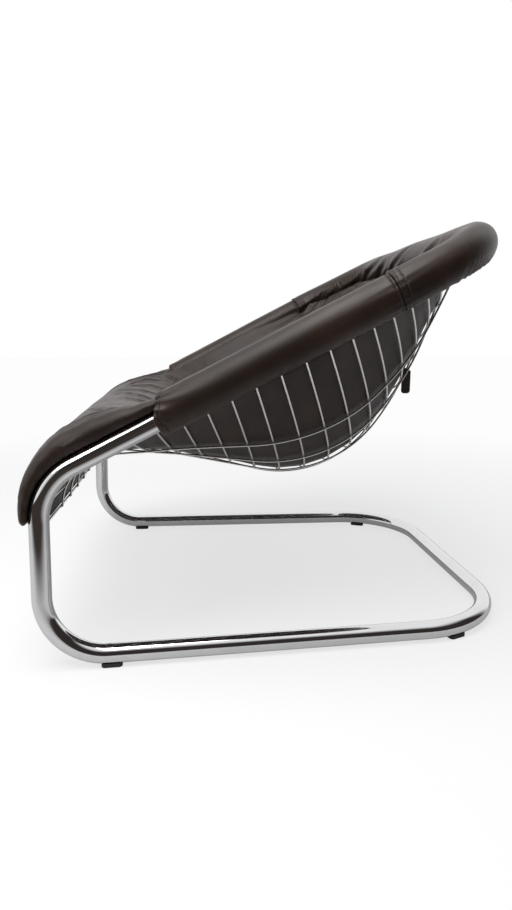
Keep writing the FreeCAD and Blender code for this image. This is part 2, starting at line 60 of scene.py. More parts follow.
# The loop of tube: one closed line of 32 mm steel tube, bent cold and chromed. It runs from
# the rails over the knees down to the floor, back along the runners and round behind, and at
# the top the rails bend into the crossbar. The two lengths meet on spigots inside the sleeves.
TUBE_R = 0.016
FRONT_HALF = 0.3735
REAR_HALF = 0.341
BASE_LENGTH = 0.826
KNEE_SETBACK = 0.0085
KNEE_HEIGHT = 0.308
KNEE_BEND_R = 0.105
FOOT_BEND_R = 0.1015
CORNER_R = 0.176
RAIL_SPLAY = 0.075
RAIL_LENGTH = 0.814
RAIL_SLOPE = math.radians(27.2)
JOINT_STATION = 0.262
FRONT_FEET_Y = -0.408011
UNDERSIDE_Z = 0.005
TUBE_SIDES = 64
ALONG = Vector((0, math.cos(RAIL_SLOPE), math.sin(RAIL_SLOPE)))
ABOVE = Vector((0, -math.sin(RAIL_SLOPE), math.cos(RAIL_SLOPE)))


def spot(x, y, z):
    """A point measured from the front feet's centre line and the underside of the tube."""
    return Vector((x, y + FRONT_FEET_Y, z + UNDERSIDE_Z))


def rail_point(station, side=1):
    """A point on a rail's centre line, by its distance from the knee."""
    return spot(side * (FRONT_HALF + RAIL_SPLAY * station), KNEE_SETBACK, KNEE_HEIGHT) + ALONG * station


def bent(corners, radii, turn=2.5):
    """Points of straight runs joined by tangent arcs, an arc every few degrees."""
    points = [corners[0]]
    for before, corner, after, radius in zip(corners, corners[1:], corners[2:], radii):
        u = (before - corner).normalized()
        v = (after - corner).normalized()
        half = u.angle(v) / 2
        centre = corner + (u + v).normalized() * (radius / math.sin(half))
        first = corner + u * (radius / math.tan(half)) - centre
        last = corner + v * (radius / math.tan(half)) - centre
        sweep = math.pi - 2 * half
        steps = max(2, math.ceil(math.degrees(sweep) / turn))
        for step in range(steps + 1):
            t = step / steps
            arm = first * math.sin((1 - t) * sweep) + last * math.sin(t * sweep)
            points.append(centre + arm / math.sin(sweep))
    points.append(corners[-1])
    return points


def socket(tree, name, kind, default=None, way="INPUT"):
    made = tree.interface.new_socket(name, in_out=way, socket_type="NodeSocket" + kind)
    if default is not None:
        made.default_value = default


def add(tree, kind, links=None, **settings):
    """A node with its settings, its inputs filled from numbers or from other sockets."""
    made = tree.nodes.new(kind)
    for name, value in settings.items():
        setattr(made, name, value)
    for name, value in (links or {}).items():
        if isinstance(value, bpy.types.NodeSocket):
            tree.links.new(value, made.inputs[name])
        else:
            made.inputs[name].default_value = value
    return made


def maths(tree, operation, *values):
    """A sum, product or the like of numbers or sockets."""
    return add(tree, "ShaderNodeMath", dict(enumerate(values)), operation=operation).outputs[0]


def ranged(tree, value, low, high, to_low=0.0, to_high=1.0, **settings):
    """A value moved from one range to another, and held to its ends."""
    links = {"Value": value, "From Min": low, "From Max": high, "To Min": to_low, "To Max": to_high}
    return add(tree, "ShaderNodeMapRange", links, **settings).outputs[0]


def noisy(tree, place, scale, detail, roughness=0.5, distortion=0.0):
    links = {"Vector": place, "Scale": scale, "Detail": detail, "Roughness": roughness, "Distortion": distortion}
    return add(tree, "ShaderNodeTexNoise", links).outputs


def tinted(tree, share, first, second, **settings):
    """A colour between two, given as colours or as sockets."""
    links = {"Factor": share}
    for number, colour in ((6, first), (7, second)):
        links[number] = colour if isinstance(colour, bpy.types.NodeSocket) else (*colour, 1)
    return add(tree, "ShaderNodeMix", links, data_type="RGBA", **settings).outputs[2]


def finish_tree(tree, geometry, given):
    real = add(tree, "GeometryNodeRealizeInstances", {"Geometry": geometry})
    dressed = add(tree, "GeometryNodeSetMaterial", {"Geometry": real.outputs[0], "Material": given["Finish"]})
    add(tree, "NodeGroupOutput", {"Piece": dressed.outputs[0]})


def bar_tree():
    """A round bar drawn along every line of the mesh that it is given."""
    tree = bpy.data.node_groups.new("round bar", "GeometryNodeTree")
    socket(tree, "Lines", "Geometry")
    socket(tree, "Bar Radius", "Float", TUBE_R)
    socket(tree, "Sides", "Int", TUBE_SIDES)
    socket(tree, "Finish", "Material")
    socket(tree, "Piece", "Geometry", way="OUTPUT")
    given = add(tree, "NodeGroupInput").outputs
    line = add(tree, "GeometryNodeMeshToCurve", {"Mesh": given["Lines"]})
    section = {"Resolution": given["Sides"], "Radius": given["Bar Radius"]}
    ring = add(tree, "GeometryNodeCurvePrimitiveCircle", section)
    along = {"Curve": line.outputs[0], "Profile Curve": ring.outputs["Curve"], "Fill Caps": True}
    bar = add(tree, "GeometryNodeCurveToMesh", along)
    smooth = add(tree, "GeometryNodeSetShadeSmooth", {"Geometry": bar.outputs[0]})
    finish_tree(tree, smooth.outputs[0], given)
    return tree


def lines_mesh(name, lines):
    mesh = bpy.data.meshes.new(name)
    points = []
    edges = []
    for line in lines:
        start = len(points)
        points += [tuple(point) for point in line]
        edges += [(start + k, start + k + 1) for k in range(len(line) - 1)]
    mesh.from_pydata(points, edges, [])
    return mesh


def grown(name, tree, mesh, **inputs):
    """The plain mesh that a node tree makes from a mesh of lines or points."""
    guide = bpy.data.objects.new(name + "_guide", mesh)
    bpy.context.collection.objects.link(guide)
    modifier = guide.modifiers.new("made", "NODES")
    modifier.node_group = tree
    for item in tree.interface.items_tree:
        key = item.name.replace(" ", "_").lower()
        if item.in_out == "INPUT" and key in inputs:
            modifier[item.identifier] = inputs[key]
    guide.update_tag()
    graph = bpy.context.evaluated_depsgraph_get()
    result = bpy.data.meshes.new_from_object(guide.evaluated_get(graph))
    bpy.data.objects.remove(guide)
    result.name = name
    piece = bpy.data.objects.new(name, result)
    bpy.context.collection.objects.link(piece)
    return piece


def facing_out(piece):
    """Turns every face of a piece outwards."""
    work = bmesh.new()
    work.from_mesh(piece.data)
    bmesh.ops.recalc_face_normals(work, faces=work.faces)
    work.to_mesh(piece.data)
    work.free()


def new_material(name):
    """A material with its shader, and the place on the piece for what varies over it."""
    material = bpy.data.materials.new(name)
    material.use_nodes = True
    tree = material.node_tree
    tree.nodes.clear()
    shader = add(tree, "ShaderNodeBsdfPrincipled")
    add(tree, "ShaderNodeOutputMaterial", {"Surface": shader.outputs[0]})
    here = add(tree, "ShaderNodeTexCoord").outputs["Object"]
    return material, tree, shader, here


def haze_group():
    """Faint wiping marks and dust that make a polished or moulded surface less even."""
    tree = bpy.data.node_groups.new("wiping marks", "ShaderNodeTree")
    socket(tree, "Place", "Vector")
    socket(tree, "Mark Size", "Float", 40.0)
    socket(tree, "Clean", "Float", 0.05)
    socket(tree, "Hazy", "Float", 0.12)
    socket(tree, "Roughness", "Float", way="OUTPUT")
    socket(tree, "Mask", "Float", way="OUTPUT")
    given = add(tree, "NodeGroupInput").outputs
    cloud = noisy(tree, given["Place"], given["Mark Size"], 6.0, 0.65, 0.6)
    fine = noisy(tree, given["Place"], 900.0, 2.0)
    both = maths(tree, "MULTIPLY", cloud["Fac"], fine["Fac"])
    spread = ranged(tree, both, 0.15, 0.42, given["Clean"], given["Hazy"])
    mask = ranged(tree, both, 0.2, 0.4)
    add(tree, "NodeGroupOutput", {"Roughness": spread, "Mask": mask})
    return tree


HAZE = haze_group()
DULLED = 0.93


def hazed(tree, here, shader, mark_size, clean, hazy, fresh, dusty):
    """Joins the wiping marks to a shader's roughness and colour."""
    links = {"Place": here, "Mark Size": mark_size, "Clean": clean, "Hazy": hazy}
    haze = add(tree, "ShaderNodeGroup", links, node_tree=HAZE)
    tree.links.new(tinted(tree, haze.outputs["Mask"], fresh, dusty), shader.inputs["Base Color"])
    tree.links.new(haze.outputs["Roughness"], shader.inputs["Roughness"])


def chrome(name, colour, clean, hazy, mark_size):
    """Chromium plate, duller and a shade darker where it has been wiped."""
    material, tree, shader, here = new_material(name)
    hazed(tree, here, shader, mark_size, clean, hazy, colour, [share * DULLED for share in colour])
    shader.inputs["Metallic"].default_value = 1.0
    return material


BAR = bar_tree()
tube_chrome = chrome("tube_chrome", (0.74, 0.74, 0.75), 0.045, 0.10, 22.0)

near_corners = [
    rail_point(JOINT_STATION), rail_point(0), spot(FRONT_HALF, 0, TUBE_R), spot(REAR_HALF, BASE_LENGTH, TUBE_R)]
far_corners = [
    spot(-REAR_HALF, BASE_LENGTH, TUBE_R), spot(-FRONT_HALF, 0, TUBE_R),
    rail_point(0, -1), rail_point(JOINT_STATION, -1)]
bend_radii = [KNEE_BEND_R, FOOT_BEND_R, CORNER_R]
base_line = bent(near_corners + far_corners, bend_radii + bend_radii[::-1])


def top_line(start):
    """The upper loop, from a place on one rail round to the same place on the other."""
    corners = [rail_point(start), rail_point(RAIL_LENGTH), rail_point(RAIL_LENGTH, -1), rail_point(start, -1)]
    return bent(corners, [CORNER_R, CORNER_R])


for name, line in (("base_tube", base_line), ("loop_tube", top_line(JOINT_STATION))):
    guide = lines_mesh(name, [line])
    tube = grown(name + "_bent", BAR, guide, bar_radius=TUBE_R, sides=TUBE_SIDES, finish=tube_chrome)
    facing_out(tube)
    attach(tube, "root")
    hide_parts(name)

spigot_steel = chrome("spigot_steel", (0.42, 0.42, 0.43), 0.25, 0.4, 60.0)
for side in ("left", "right"):
    nodes["spigot_" + side].data.materials[0] = spigot_steel


# The feet: four small black rubber glides under the runners, moulded with a peg that is
# pressed through the tube's wall. They keep their solids and get a dull moulded finish.
def rubber(name):
    """Dull black rubber with fine pores and some dust."""
    material, tree, shader, here = new_material(name)
    hazed(tree, here, shader, 180.0, 0.55, 0.85, (0.012, 0.012, 0.012), (0.035, 0.033, 0.03))
    pores = noisy(tree, here, 1500.0, 3.0)["Fac"]
    dents = add(tree, "ShaderNodeBump", {"Height": pores, "Strength": 0.35, "Distance": 0.0004})
    tree.links.new(dents.outputs[0], shader.inputs["Normal"])
    return material


foot_rubber = rubber("foot_rubber")
for name in nodes:
    if name.startswith("foot_"):
        nodes[name].data.materials[0] = foot_rubber


# The basket: 3.6 mm steel wire, welded and chromed. Cross wires hang from rail to rail like
# the ribs of a dish, and nine wires run lengthwise under them from the hem to the crossbar.
# Each crossing and each end on the tube is a spot weld, which leaves a small bead.
WIRE_R = 0.0018
WIRE_SIDES = 12
WIRE_IN_TUBE = 0.001
BEAD_R = 0.0025
BEAD_UNEVENNESS = 0.22
BEAD_SEED = 7
HEM_HEIGHT = 0.245
CROSS_WIRES = 21
FRONT_WIRES = 6
FRONT_KEEL_LENGTH = 0.254
KEEL_PITCH = 0.0515
RIM_PITCH = 0.042
EVEN_RIM_WIRES = 12
RIM_PITCH_LOSS = 0.055
DISH_POWER = 2.12
RIM_DROP = 0.012
LENGTH_WIRE_PITCH = 0.070
LENGTH_WIRES_A_SIDE = 4
LENGTH_WIRE_LIFT = 0.0035
KEEL_BENDS = [0.082, 0.220, 0.508]
RIBS_PER_WIRE = 4
HALF_WIRE_STEPS = 60


class Line:
    """A chain of points that can be read by its length."""

    def __init__(self, points):
        self.points = points
        self.at = [0.0]
        for a, b in zip(points, points[1:]):
            self.at.append(self.at[-1] + (b - a).length)

    def read(self, length):
        k = min(max(int(np.searchsorted(self.at, length)) - 1, 0), len(self.points) - 2)
        span = self.at[k + 1] - self.at[k]
        return self.points[k].lerp(self.points[k + 1], (length - self.at[k]) / span)


top = rail_point(RAIL_LENGTH)
under_top = top - ABOVE * TUBE_R
crest = spot(0, 0.026, 0.3525)
bottom = spot(0, 0.535, 0.214)
back = spot(0, 0.6695, 0.415)
keel = Line(bent(
    [spot(0, 0.026, HEM_HEIGHT), crest, bottom, back, Vector((0, under_top.y, under_top.z))],
    KEEL_BENDS, 1.0))
hem_lean = KNEE_SETBACK * (HEM_HEIGHT - TUBE_R) / (KNEE_HEIGHT - TUBE_R)
rim = Line(bent(
    [spot(FRONT_HALF, hem_lean, HEM_HEIGHT), rail_point(0), top, Vector((0, top.y, top.z))],
    [KNEE_BEND_R, CORNER_R], 1.0))


def rim_station(wire):
    """How far along the rim a cross wire ends. Towards the top the wires close up."""
    extra = max(wire - EVEN_RIM_WIRES, 0)
    return RIM_PITCH * (wire - RIM_PITCH_LOSS * extra * (extra + 1) / 2)


def square_station(wire):
    """How far along the keel a cross wire lies that runs square across from the rim."""
    here = rim.read(rim_station(wire))
    heading = rim.read(rim_station(wire) + 0.001) - here
    heading.x = 0
    low, high = 0.0, FRONT_KEEL_LENGTH + KEEL_PITCH
    for _ in range(30):
        middle = (low + high) / 2
        low, high = (low, middle) if (keel.read(middle) - here).dot(heading) > 0 else (middle, high)
    return low


def keel_station(wire):
    """How far along the keel a cross wire lies: square at the front, then evenly spaced."""
    if wire >= FRONT_WIRES:
        return FRONT_KEEL_LENGTH + KEEL_PITCH * (wire - FRONT_WIRES)
    if wire > FRONT_WIRES - 1:
        before = square_station(FRONT_WIRES - 1)
        return before + (FRONT_KEEL_LENGTH - before) * (wire - FRONT_WIRES + 1)
    return square_station(wire)


class Rib:
    """One cross line of the basket: its place on the rim, on the keel, and its dish between."""

    def __init__(self, wire):
        self.rim = rim.read(rim_station(wire))
        self.keel = keel.read(keel_station(wire))
        drop = ABOVE
        if wire < FRONT_WIRES:
            drop = Vector((0, self.rim.y - self.keel.y, self.rim.z - self.keel.z)).normalized()
        self.weld = self.rim - drop * RIM_DROP

    def point(self, x):
        rise = (abs(x) / self.rim.x) ** DISH_POWER
        y = self.keel.y + (self.weld.y - self.keel.y) * rise
        z = self.keel.z + (self.weld.z - self.keel.z) * rise
        return Vector((x, y, z))


ribs = [Rib(step / RIBS_PER_WIRE) for step in range((CROSS_WIRES - 1) * RIBS_PER_WIRE + 1)]


def out_of_basket(step, x):
    """The direction square off the basket, away from the sitter."""
    before = ribs[max(step - 1, 0)]
    after = ribs[min(step + 1, len(ribs) - 1)]
    lengthwise = after.point(x) - before.point(x)
    crosswise = ribs[step].point(x + 0.003) - ribs[step].point(x - 0.003)
    return lengthwise.cross(crosswise).normalized()


def bead_tree():
    """A small bead of weld on every point, no two quite the same size."""
    tree = bpy.data.node_groups.new("weld beads", "GeometryNodeTree")
    socket(tree, "Places", "Geometry")
    socket(tree, "Bead Radius", "Float", BEAD_R)
    socket(tree, "Unevenness", "Float", BEAD_UNEVENNESS)
    socket(tree, "Seed", "Int", BEAD_SEED)
    socket(tree, "Finish", "Material")
    socket(tree, "Piece", "Geometry", way="OUTPUT")
    given = add(tree, "NodeGroupInput").outputs
    bead = add(tree, "GeometryNodeMeshIcoSphere", {"Radius": given["Bead Radius"], "Subdivisions": 2})
    smooth = add(tree, "GeometryNodeSetShadeSmooth", {"Geometry": bead.outputs["Mesh"]})
    least = maths(tree, "SUBTRACT", 1.0, given["Unevenness"])
    between = {2: least, 3: 1.0, "Seed": given["Seed"]}
    size = add(tree, "FunctionNodeRandomValue", between, data_type="FLOAT")
    places = {"Points": given["Places"], "Instance": smooth.outputs[0], "Scale": size.outputs[1]}
    spread = add(tree, "GeometryNodeInstanceOnPoints", places)
    finish_tree(tree, spread.outputs[0], given)
    return tree


# The wires' chrome has a paler base colour than the tube's: painted light that stands in for the broad light the
# thin wires catch.
wire_chrome = chrome("wire_chrome", (0.90, 0.88, 0.86), 0.20, 0.30, 60.0)
cross_lines = []
long_lines = []
welds = []
for wire in range(CROSS_WIRES):
    rib = ribs[wire * RIBS_PER_WIRE]
    line = []
    for step in range(-HALF_WIRE_STEPS, HALF_WIRE_STEPS + 1):
        point = rib.point(rib.rim.x * step / HALF_WIRE_STEPS)
        inside = Vector((math.copysign(rib.rim.x, step), rib.rim.y, rib.rim.z))
        if (point - inside).length > TUBE_R - WIRE_IN_TUBE:
            line.append(point)
    cross_lines.append(line)
    welds += [line[0], line[-1]]
for number in range(-LENGTH_WIRES_A_SIDE, LENGTH_WIRES_A_SIDE + 1):
    x = number * LENGTH_WIRE_PITCH
    line = []
    for step, rib in enumerate(ribs):
        outward = out_of_basket(step, x)
        line.append(rib.point(x) + outward * LENGTH_WIRE_LIFT)
        if step % RIBS_PER_WIRE == 0:
            welds.append(rib.point(x) + outward * (LENGTH_WIRE_LIFT / 2))
    crossbar = min(rim.points, key=lambda point: abs(point.x - abs(x)))
    end = Vector((x, crossbar.y, crossbar.z)) - ABOVE * RIM_DROP
    line.append(line[-1].lerp(end, 0.5))
    line.append(end)
    welds.append(end)
    long_lines.append(line)

round_wire = {"bar_radius": WIRE_R, "sides": WIRE_SIDES, "finish": wire_chrome}
cross_wires = grown("cross_wires_round", BAR, lines_mesh("cross", cross_lines), **round_wire)
long_wires = grown("length_wires_round", BAR, lines_mesh("long", long_lines), **round_wire)
bead_places = bpy.data.meshes.new("welds")
bead_places.from_pydata([tuple(point) for point in welds], [], [])
beads = grown(
    "weld_beads", bead_tree(), bead_places,
    bead_radius=BEAD_R, unevenness=BEAD_UNEVENNESS, seed=BEAD_SEED, finish=wire_chrome)
for piece in (cross_wires, long_wires, beads):
    facing_out(piece)
    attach(piece, "root")
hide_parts(*[name for name in nodes if name.startswith("cross_wire")])
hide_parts(*[name for name in nodes if name.startswith("length_wire")])


# The leather: dark brown hide with a fine grain and a satin finish, dyed unevenly, so that
# soft patches of it are paler and glossier. Sleeves, hood and pad are cut from the same hide.
def hide_group():
    """Grain of the hide: small cells between fine lines, over a soft unevenness."""
    tree = bpy.data.node_groups.new("hide grain", "ShaderNodeTree")
    socket(tree, "Place", "Vector")
    socket(tree, "Cells", "Float", 700.0)
    socket(tree, "Cloud Size", "Float", 9.0)
    socket(tree, "Height", "Float", way="OUTPUT")
    socket(tree, "Cloud", "Float", way="OUTPUT")
    socket(tree, "Pores", "Float", way="OUTPUT")
    given = add(tree, "NodeGroupInput").outputs
    bend = noisy(tree, given["Place"], 160.0, 2.0)["Color"]
    shift = add(tree, "ShaderNodeVectorMath", {0: bend, "Scale": 0.003}, operation="SCALE")
    moved = add(tree, "ShaderNodeVectorMath", {0: given["Place"], 1: shift.outputs[0]}, operation="ADD")
    web = {"Vector": moved.outputs[0], "Scale": given["Cells"]}
    cells = add(tree, "ShaderNodeTexVoronoi", web, feature="DISTANCE_TO_EDGE")
    pores = ranged(tree, cells.outputs["Distance"], 0.0, 0.22)
    creases = noisy(tree, moved.outputs[0], 75.0, 5.0, 0.62, 0.9)["Fac"]
    height = maths(tree, "MULTIPLY_ADD", pores, 0.35, creases)
    cloud = noisy(tree, given["Place"], given["Cloud Size"], 4.0, 0.6)["Fac"]
    add(tree, "NodeGroupOutput", {"Height": height, "Cloud": cloud, "Pores": pores})
    return tree


HIDE = hide_group()


def leather(name, dark, pale, roughness, relief):
    """Dyed hide between two tones, with its grain as relief."""
    material, tree, shader, here = new_material(name)
    hide = add(tree, "ShaderNodeGroup", {"Place": here}, node_tree=HIDE)
    patch = ranged(tree, hide.outputs["Cloud"], 0.35, 0.7)
    tone = tinted(tree, patch, dark, pale)
    grain = ranged(tree, hide.outputs["Pores"], 0.0, 1.0, 0.72, 1.0)
    tree.links.new(tinted(tree, 1.0, tone, grain, blend_type="MULTIPLY"), shader.inputs["Base Color"])
    gloss = ranged(tree, hide.outputs["Cloud"], 0.3, 0.7, roughness + 0.05, roughness - 0.05)
    tree.links.new(gloss, shader.inputs["Roughness"])
    dents = add(tree, "ShaderNodeBump", {"Height": hide.outputs["Height"], "Strength": relief, "Distance": 0.0008})
    tree.links.new(dents.outputs[0], shader.inputs["Normal"])
    shader.inputs["Specular IOR Level"].default_value = 0.27
    return material


sleeve_leather = leather("sleeve_leather", (0.0165, 0.0090, 0.0064), (0.0320, 0.0178, 0.0124), 0.34, 0.35)
pad_leather = leather("pad_leather", (0.0160, 0.0088, 0.0063), (0.0290, 0.0162, 0.0114), 0.38, 0.4)


# Sleeves and hood: strips of padded hide wrapped round the tube and closed underneath, where
# the cross wires come in. The sleeves start above the knees with a turned hem, and a double
# row of stitches joins each to the hood, which is gathered round the two bends of the loop.
SLEEVE_START = 0.214
SEAM_STATION = 0.612
SLEEVE_R = 0.0314
SLEEVE_RISE = 0.0067
HOOD_R = 0.032
HOOD_RISE = 0.0074
SLOT_FROM = math.radians(210)
SLOT_TO = math.radians(276 - 360)
LINING_R = TUBE_R + 0.0004
SEAM_GAP = 0.0004
HEM_LAP = 0.004
HEM_LEAN = 0.017
HEM_LEAN_LENGTH = 0.075
ROUND_STEPS = 96
LIP_STEPS = 4
LIP_DEPTH = 0.006
END_ROUNDING = 0.004
END_DEPTH = 0.0016
RING_PITCH = 0.003


def even_line(points, pitch):
    """The same line with its points spaced evenly, close to a pitch."""
    line = Line(points)
    count = round(line.at[-1] / pitch)
    return [line.read(line.at[-1] * k / count) for k in range(count + 1)]


def fine_ends(line, reach=0.022, parts=4):
    """The same line with closer points near both ends, for the seams and hems there."""
    at = Line(line).at
    points = [line[0]]
    for k in range(1, len(line)):
        count = parts if min(at[k], at[-1] - at[k - 1]) < reach else 1
        points += [line[k - 1].lerp(line[k], step / count) for step in range(1, count + 1)]
    return points


def bump(value, centre, width):
    """1 at a centre, falling smoothly to 0 on both sides."""
    return math.exp(-((value - centre) / width) ** 2)


def folds(length, angle, pitch, seed):
    """Uneven folds across the strip: rounded ridges with sharp valleys, about 0 on average."""
    wander = noise.noise(Vector((length * 14, angle * 0.7, seed))) * 1.3
    wave = math.sin(2 * math.pi * (length / pitch + wander))
    strength = 0.55 + 0.75 * noise.noise(Vector((length * 22, angle * 1.1, seed + 5)))
    return (2 * abs(wave) ** 1.6 - 1) * max(strength, 0.1) + 0.2


def upright(length, angle, total):
    """No slant: the strip's ends are cut square."""
    return 0.0


def off_line(seat, outward, reach, angle, rise=0.0):
    """A point at an angle round a line, measured from its outer side over the top."""
    return seat + outward * (reach * math.cos(angle)) + ABOVE * (rise + reach * math.sin(angle))


def wrap(name, points, radius, rise, relief, slant=upright):
    """Padded strip round a line, with a rounded lip along both edges of its slot."""
    rings = []
    total = Line(points).at
    for k, point in enumerate(points):
        heading = (points[min(k + 1, len(points) - 1)] - points[max(k - 1, 0)]).normalized()
        outward = heading.cross(ABOVE)
        ring = []
        for step in range(ROUND_STEPS + 1):
            share = step / ROUND_STEPS
            angle = SLOT_TO + (SLOT_FROM - SLOT_TO) * share
            lip = max(1 - min(share, 1 - share) * ROUND_STEPS / LIP_STEPS, 0)
            end = max(1 - min(total[k], total[-1] - total[k]) / END_ROUNDING, 0)
            reach = radius + relief(total[k], angle, total[-1])
            reach -= LIP_DEPTH * (1 - math.sqrt(1 - lip * lip)) + END_DEPTH * (1 - math.sqrt(1 - end * end))
            seat = point + heading * slant(total[k], angle, total[-1])
            ring.append(off_line(seat, outward, reach, angle, rise))
        for step in range(ROUND_STEPS, -1, -1):
            angle = SLOT_TO + (SLOT_FROM - SLOT_TO) * step / ROUND_STEPS
            seat = point + heading * slant(total[k], angle, total[-1])
            ring.append(off_line(seat, outward, LINING_R, angle))
        rings.append(ring)
    size = len(rings[0])
    faces = []
    for k in range(len(rings) - 1):
        for n in range(size):
            m = (n + 1) % size
            faces.append((k * size + n, k * size + m, (k + 1) * size + m, (k + 1) * size + n))
    last = (len(rings) - 1) * size
    for n in range(ROUND_STEPS):
        faces.append((n, size - 1 - n, size - 2 - n, n + 1))
        faces.append((last + n, last + n + 1, last + size - 2 - n, last + size - 1 - n))
    mesh = bpy.data.meshes.new(name)
    mesh.from_pydata([tuple(point) for ring in rings for point in ring], [], faces)
    mesh.shade_smooth()
    mesh.materials.append(sleeve_leather)
    piece = bpy.data.objects.new(name, mesh)
    bpy.context.collection.objects.link(piece)
    facing_out(piece)
    return piece


def slot_edges(angle, reach):
    """1 at both edges of the slot, fading over an angle."""
    return math.exp(-(angle - SLOT_TO) / reach) + math.exp(-(SLOT_FROM - angle) / reach)


def pulls(length, from_seam, angle, fade, count, seed):
    """Short pulls of the hide that run off from a seam."""
    wander = noise.noise(Vector((angle, length * 9, seed)))
    return math.exp(-from_seam / fade) * math.sin(angle * count + 3 * wander)


def sleeve_relief(length, angle, total):
    """How far the sleeve's hide stands off its round: puckers at the hem, smooth further up."""
    to_seam = total - length
    soft = 0.0011 * noise.noise(Vector((length * 9, angle * 0.9, 3)))
    wander = 2 * noise.noise(Vector((angle * 2, length * 12, 8)))
    pinch = math.sin((angle - 1.1) * 9 / (0.5 + length / 0.06) + wander)
    puckers = 0.0030 * math.exp(-length / 0.035) * pinch * bump(angle, 1.1, 0.9)
    drawn_in = -0.0040 * math.exp(-length / 0.010) * bump(angle, 1.2, 0.9)
    hem = -0.0011 * bump(length, 0.011, 0.0016)
    pull = 0.0005 * pulls(length, to_seam, angle, 0.02, 16, 1)
    edge = 0.0016 * folds(length, angle, 0.042, 2) * slot_edges(angle, 0.35)
    seam = -0.0012 * bump(to_seam, 0.0045, 0.0014)
    return soft + puckers + drawn_in + hem + pull + edge + seam


def hood_relief(length, angle, total):
    """The same for the hood: gathered underneath and folded inside round the two bends."""
    from_seam = min(length, total - length)
    bend = bump(from_seam, 0.165, 0.115)
    soft = 0.0016 * noise.noise(Vector((length * 7, angle * 0.9, 9)))
    inner = 0.0030 * bend * folds(length, angle, 0.024, 4) * bump(angle, 3.2, 0.75)
    under = math.exp(-(angle - SLOT_TO) / 0.42)
    gathers = 0.0036 * (0.12 + 0.88 * bend) * folds(length, angle, 0.026, 6) * under
    drift = noise.noise(Vector((length * 16 + angle * 1.2, angle * 0.8, 11)))
    across = 0.0012 * bend * drift * bump(angle, 0.8, 1.1)
    seam = -0.0011 * bump(from_seam, 0.0045, 0.0012) - 0.0010 * bump(from_seam, 0.0125, 0.0013)
    welt = 0.0008 * bump(from_seam, 0.002, 0.003)
    pull = 0.0005 * pulls(length, from_seam, angle, 0.025, 15, 6)
    return soft + inner + gathers + across + seam + welt + pull


def hem_slant(length, angle, total):
    """The front hem leans back over the top of the rail."""
    return HEM_LEAN * max(math.sin(angle), 0) * max(1 - length / HEM_LEAN_LENGTH, 0) ** 2


def other_relief(length, angle, total):
    """The other sleeve runs the other way, from its seam to its hem."""
    return sleeve_relief(total - length, angle, total)


def other_slant(length, angle, total):
    return -hem_slant(total - length, angle, total)


sleeve_ends = [rail_point(SLEEVE_START - HEM_LAP), rail_point(SEAM_STATION - SEAM_GAP)]
sleeve_line = fine_ends(even_line(sleeve_ends, RING_PITCH))
other_line = [Vector((-point.x, point.y, point.z)) for point in sleeve_line][::-1]
sleeves = {
    "left": wrap("sleeve_left_padded", sleeve_line, SLEEVE_R, SLEEVE_RISE, sleeve_relief, hem_slant),
    "right": wrap("sleeve_right_padded", other_line, SLEEVE_R, SLEEVE_RISE, other_relief, other_slant)}
for side, piece in sleeves.items():
    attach(piece, "root")
    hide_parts("sleeve_" + side)
hood_line = fine_ends(even_line(top_line(SEAM_STATION), RING_PITCH))
hood = wrap("top_hood_padded", hood_line, HOOD_R, HOOD_RISE, hood_relief)
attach(hood, "root")
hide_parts("top_hood")


# The stitches: brown waxed thread that lies in the grooves it has drawn into the hide. Each
# side seam has one row on the sleeve and two on the hood, and each front hem has one row.
STITCH_PITCH = 0.0045
STITCH_LENGTH = 0.0034
THREAD_R = 0.0005
SEAM_SINK = -0.0009
HEM_SINK = -0.0007
HEM_ROW = 0.011
HEM_ROW_LEAN = 0.73
SLEEVE_ROW = -0.0049
HOOD_ROWS = (0.0045, 0.0125)
ROW_STEPS = 64
ROW_SHORT = 0.1


def stitch_tree():
    """A row of stitches along a line: short rods of thread that follow it."""
    tree = bpy.data.node_groups.new("row of stitches", "GeometryNodeTree")
    socket(tree, "Lines", "Geometry")
    socket(tree, "Stitch Pitch", "Float", STITCH_PITCH)
    socket(tree, "Stitch Length", "Float", STITCH_LENGTH)
    socket(tree, "Thread Radius", "Float", THREAD_R)
    socket(tree, "Finish", "Material")
    socket(tree, "Piece", "Geometry", way="OUTPUT")
    given = add(tree, "NodeGroupInput").outputs
    line = add(tree, "GeometryNodeMeshToCurve", {"Mesh": given["Lines"]})
    spacing = {"Curve": line.outputs[0], "Length": given["Stitch Pitch"]}
    row = add(tree, "GeometryNodeResampleCurve", spacing, mode="LENGTH")
    heading = add(tree, "GeometryNodeInputTangent")
    turned = add(tree, "FunctionNodeAlignRotationToVector", {"Vector": heading.outputs[0]}, axis="Z")
    size = {"Vertices": 8, "Radius": given["Thread Radius"], "Depth": given["Stitch Length"]}
    rod = add(tree, "GeometryNodeMeshCylinder", size)
    smooth = add(tree, "GeometryNodeSetShadeSmooth", {"Geometry": rod.outputs["Mesh"]})
    places = {"Points": row.outputs[0], "Instance": smooth.outputs[0], "Rotation": turned.outputs[0]}
    spread = add(tree, "GeometryNodeInstanceOnPoints", places)
    finish_tree(tree, spread.outputs[0], given)
    return tree


def thread(name):
    """Waxed thread, uneven along its strands."""
    material, tree, shader, here = new_material(name)
    strands = noisy(tree, here, 2500.0, 2.0)["Fac"]
    tone = tinted(tree, strands, (0.02, 0.014, 0.011), (0.06, 0.045, 0.036))
    tree.links.new(tone, shader.inputs["Base Color"])
    shader.inputs["Roughness"].default_value = 0.6
    return material


